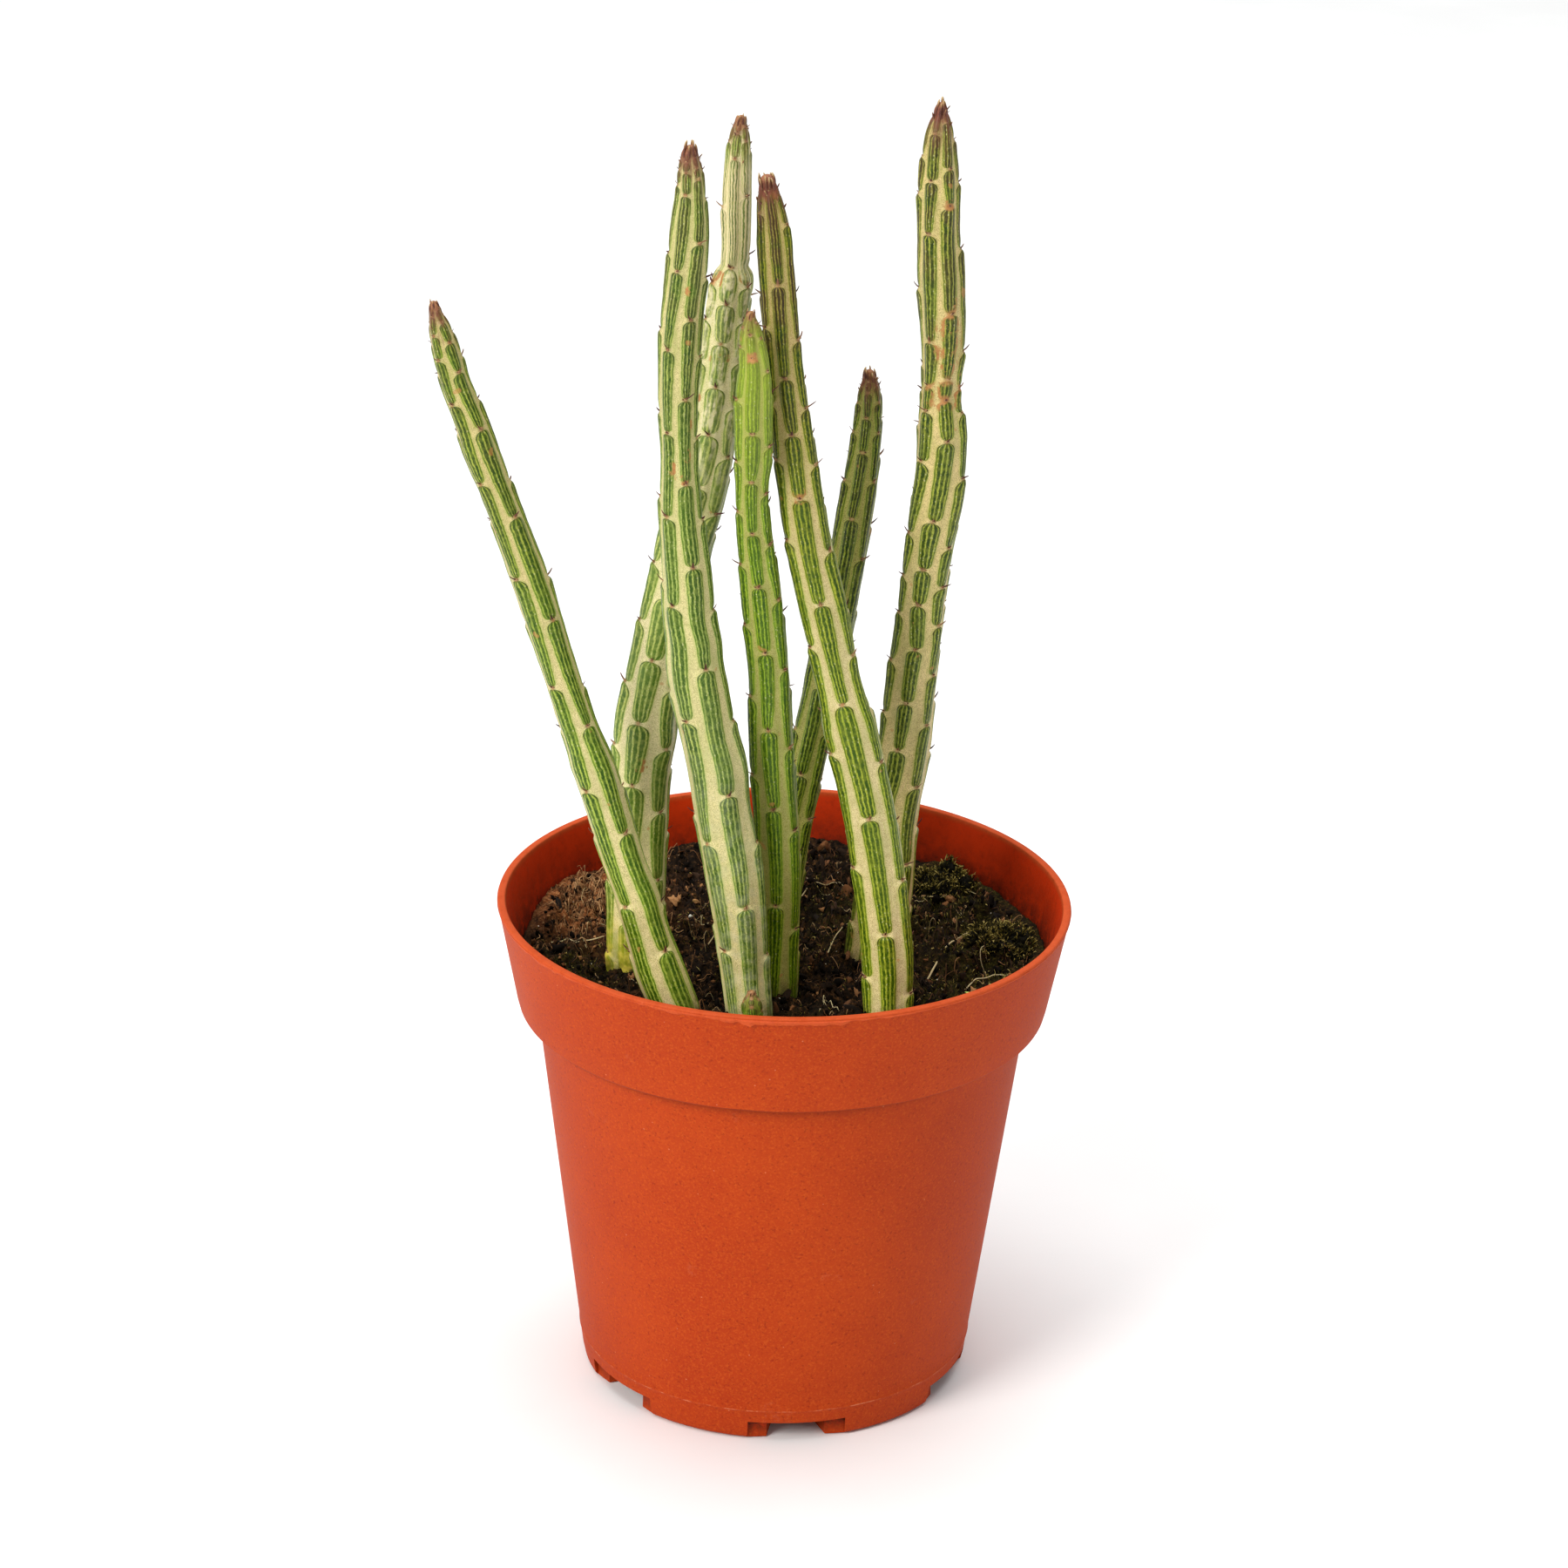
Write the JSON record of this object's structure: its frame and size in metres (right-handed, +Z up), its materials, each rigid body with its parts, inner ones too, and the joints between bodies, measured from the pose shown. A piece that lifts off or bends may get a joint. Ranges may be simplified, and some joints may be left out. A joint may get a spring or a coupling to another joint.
{
  "type": "potted pickle plant",
  "caption": "Clump of upright jointed succulent stems, ribbed and patterned pale and dark green, rooted in peat soil in a plain round nursery pot with drainage notches.",
  "frame": {"origin": "centre of the underside of the pot's foot, on the surface the pot stands on", "axes": "+Z up along the pot's axis; -Y is the side where the front stems stand, and the leaning stem leans toward -X"},
  "size_m": [0.1156, 0.105, 0.2399],
  "materials": {
    "pot_plastic": "matte moulded polypropylene, terracotta orange",
    "soil": "loose moist peat with fibres and a little grit",
    "stem_green": "waxy succulent skin, dark green lengthwise streaks on pale grey-green",
    "stem_pale": "waxy succulent skin with a whitish bloom",
    "stem_bright": "waxy succulent skin, bright yellow-green",
    "moss": "soft short moss"
  },
  "bodies": {
    "root": {"nursery_pot": "pot_plastic", "potting_soil": "soil", "stem_left_leaning": "stem_green", "stem_back_left": "stem_pale", "stem_front_left": "stem_green", "stem_centre": "stem_bright", "stem_front_right": "stem_green", "stem_back_right": "stem_green", "stem_right": "stem_green", "shoot_new": "stem_green", "moss_cushion_right": "moss", "moss_cushion_back": "moss", "moss_cushion_front": "moss"}
  },
  "joints": []
}
